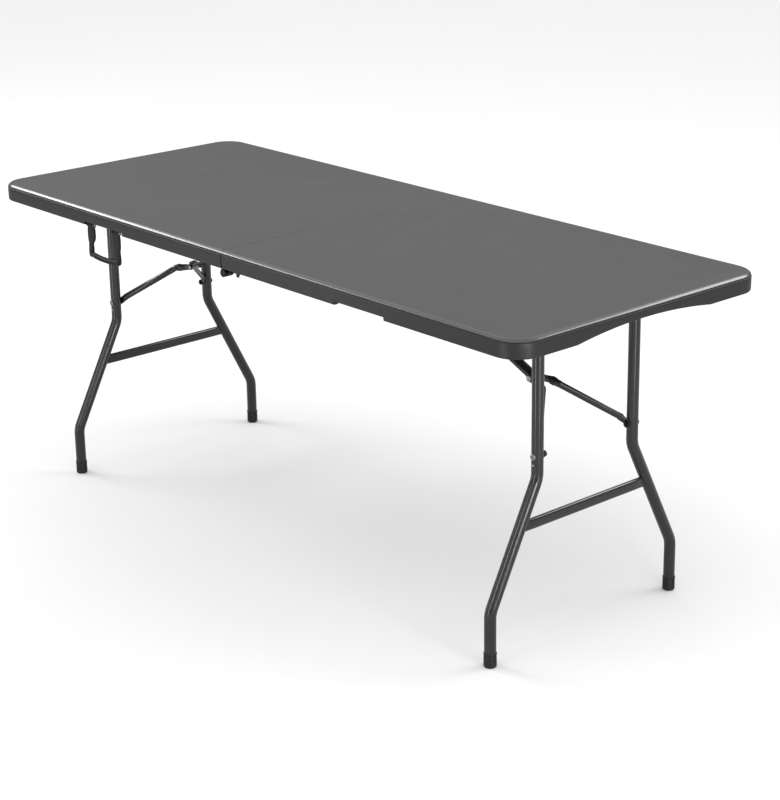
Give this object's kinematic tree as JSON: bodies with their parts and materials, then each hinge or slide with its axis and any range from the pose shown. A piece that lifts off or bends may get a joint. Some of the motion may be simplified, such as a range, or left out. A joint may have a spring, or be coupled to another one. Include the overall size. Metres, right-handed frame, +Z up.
{
  "type": "folding table",
  "caption": "Rectangular folding table that folds in half, with bent tubular steel legs that fold under a moulded dark grey top, braces, foot caps and a carry handle.",
  "frame": {"origin": "on the floor, midway between the feet, under the centre of the open table", "axes": "+X along the table's length, from the half with the carry handle to the other; +Y across it, away from the handle side; +Z up"},
  "size_m": [1.8, 0.71, 0.74],
  "materials": {
    "tabletop": "smooth moulded polyethylene with a fine grain, dark grey",
    "frame_steel": "satin dark grey powder coat",
    "black_hardware": "black painted pressed steel",
    "bright_fasteners": "zinc-plated",
    "black_caps": "black moulded plastic",
    "handle_plastic": "black moulded plastic with a ribbed grip"
  },
  "bodies": {
    "left_half": {"left_top": "tabletop", "left_front_rail": "frame_steel", "left_back_rail": "frame_steel", "left_rail_screws": "bright_fasteners", "left_front_pivot_bracket": "black_hardware", "left_back_pivot_bracket": "black_hardware", "left_link_bracket": "black_hardware", "left_link_pin": "bright_fasteners", "left_front_hinge_leaf": "black_hardware", "left_back_hinge_leaf": "black_hardware", "front_hinge_pin": "bright_fasteners", "back_hinge_pin": "bright_fasteners", "handle_pins": "bright_fasteners", "handle_clips": "black_hardware"},
    "right_half": {"right_top": "tabletop", "right_front_rail": "frame_steel", "right_back_rail": "frame_steel", "right_rail_screws": "bright_fasteners", "right_front_pivot_bracket": "black_hardware", "right_back_pivot_bracket": "black_hardware", "right_link_bracket": "black_hardware", "right_link_pin": "bright_fasteners", "right_front_hinge_leaf": "black_hardware", "right_back_hinge_leaf": "black_hardware", "latch_pin": "bright_fasteners"},
    "left_legs": {"left_pivot_tube": "frame_steel", "left_front_leg": "frame_steel", "left_back_leg": "frame_steel", "left_leg_crossbar": "frame_steel", "left_foot_caps": "black_caps", "left_strut_bolts": "bright_fasteners"},
    "left_struts": {"left_front_strut": "frame_steel", "left_back_strut": "frame_steel", "left_strut_ferrules": "black_caps", "left_joint_rivet_heads": "bright_fasteners"},
    "left_link_arm": {"left_link": "frame_steel", "left_joint_sleeve": "bright_fasteners"},
    "right_legs": {"right_pivot_tube": "frame_steel", "right_front_leg": "frame_steel", "right_back_leg": "frame_steel", "right_leg_crossbar": "frame_steel", "right_foot_caps": "black_caps", "right_strut_bolts": "bright_fasteners"},
    "right_struts": {"right_front_strut": "frame_steel", "right_back_strut": "frame_steel", "right_strut_ferrules": "black_caps", "right_joint_rivet_heads": "bright_fasteners"},
    "right_link_arm": {"right_link": "frame_steel", "right_joint_sleeve": "bright_fasteners"},
    "handle": {"carry_handle": "handle_plastic"},
    "latch": {"latch_lever": "black_hardware", "latch_tab": "black_caps"}
  },
  "joints": [
    {"name": "half_fold", "type": "hinge", "parent": "left_half", "child": "right_half", "pos_m": [0, 0, 0.69], "axis": [0, 1, 0], "range_deg": [0, 85]},
    {"name": "left_leg_fold", "type": "hinge", "parent": "left_half", "child": "left_legs", "pos_m": [-0.743, 0, 0.704], "axis": [0, -1, 0], "range_deg": [0, 90]},
    {"name": "left_strut_turn", "type": "hinge", "parent": "left_legs", "child": "left_struts", "pos_m": [-0.743, 0, 0.421], "axis": [0, -1, 0], "range_deg": [0, 53.12]},
    {"name": "left_link_turn", "type": "hinge", "parent": "left_half", "child": "left_link_arm", "pos_m": [-0.1639, 0, 0.716], "axis": [0, 1, 0], "range_deg": [0, 24.77]},
    {"name": "right_leg_fold", "type": "hinge", "parent": "right_half", "child": "right_legs", "pos_m": [0.743, 0, 0.704], "axis": [0, 1, 0], "range_deg": [0, 90]},
    {"name": "right_strut_turn", "type": "hinge", "parent": "right_legs", "child": "right_struts", "pos_m": [0.743, 0, 0.421], "axis": [0, 1, 0], "range_deg": [0, 53.12]},
    {"name": "right_link_turn", "type": "hinge", "parent": "right_half", "child": "right_link_arm", "pos_m": [0.1639, 0, 0.716], "axis": [0, -1, 0], "range_deg": [0, 24.77]},
    {"name": "handle_swing", "type": "hinge", "parent": "left_half", "child": "handle", "pos_m": [-0.461, -0.346, 0.7015], "axis": [-1, 0, 0], "range_deg": [-60, 88]},
    {"name": "latch_press", "type": "hinge", "parent": "right_half", "child": "latch", "pos_m": [0.044, -0.336, 0.706], "axis": [0, 1, 0], "range_deg": [0, 12], "stiffness_Nm_per_rad": 0.05}
  ],
  "couplings": [
    {"joint": "left_strut_turn", "follows": "left_leg_fold", "ratio": 0.58962},
    {"joint": "left_link_turn", "follows": "left_leg_fold", "ratio": 0.27466},
    {"joint": "right_strut_turn", "follows": "right_leg_fold", "ratio": 0.58962},
    {"joint": "right_link_turn", "follows": "right_leg_fold", "ratio": 0.27466}
  ]
}
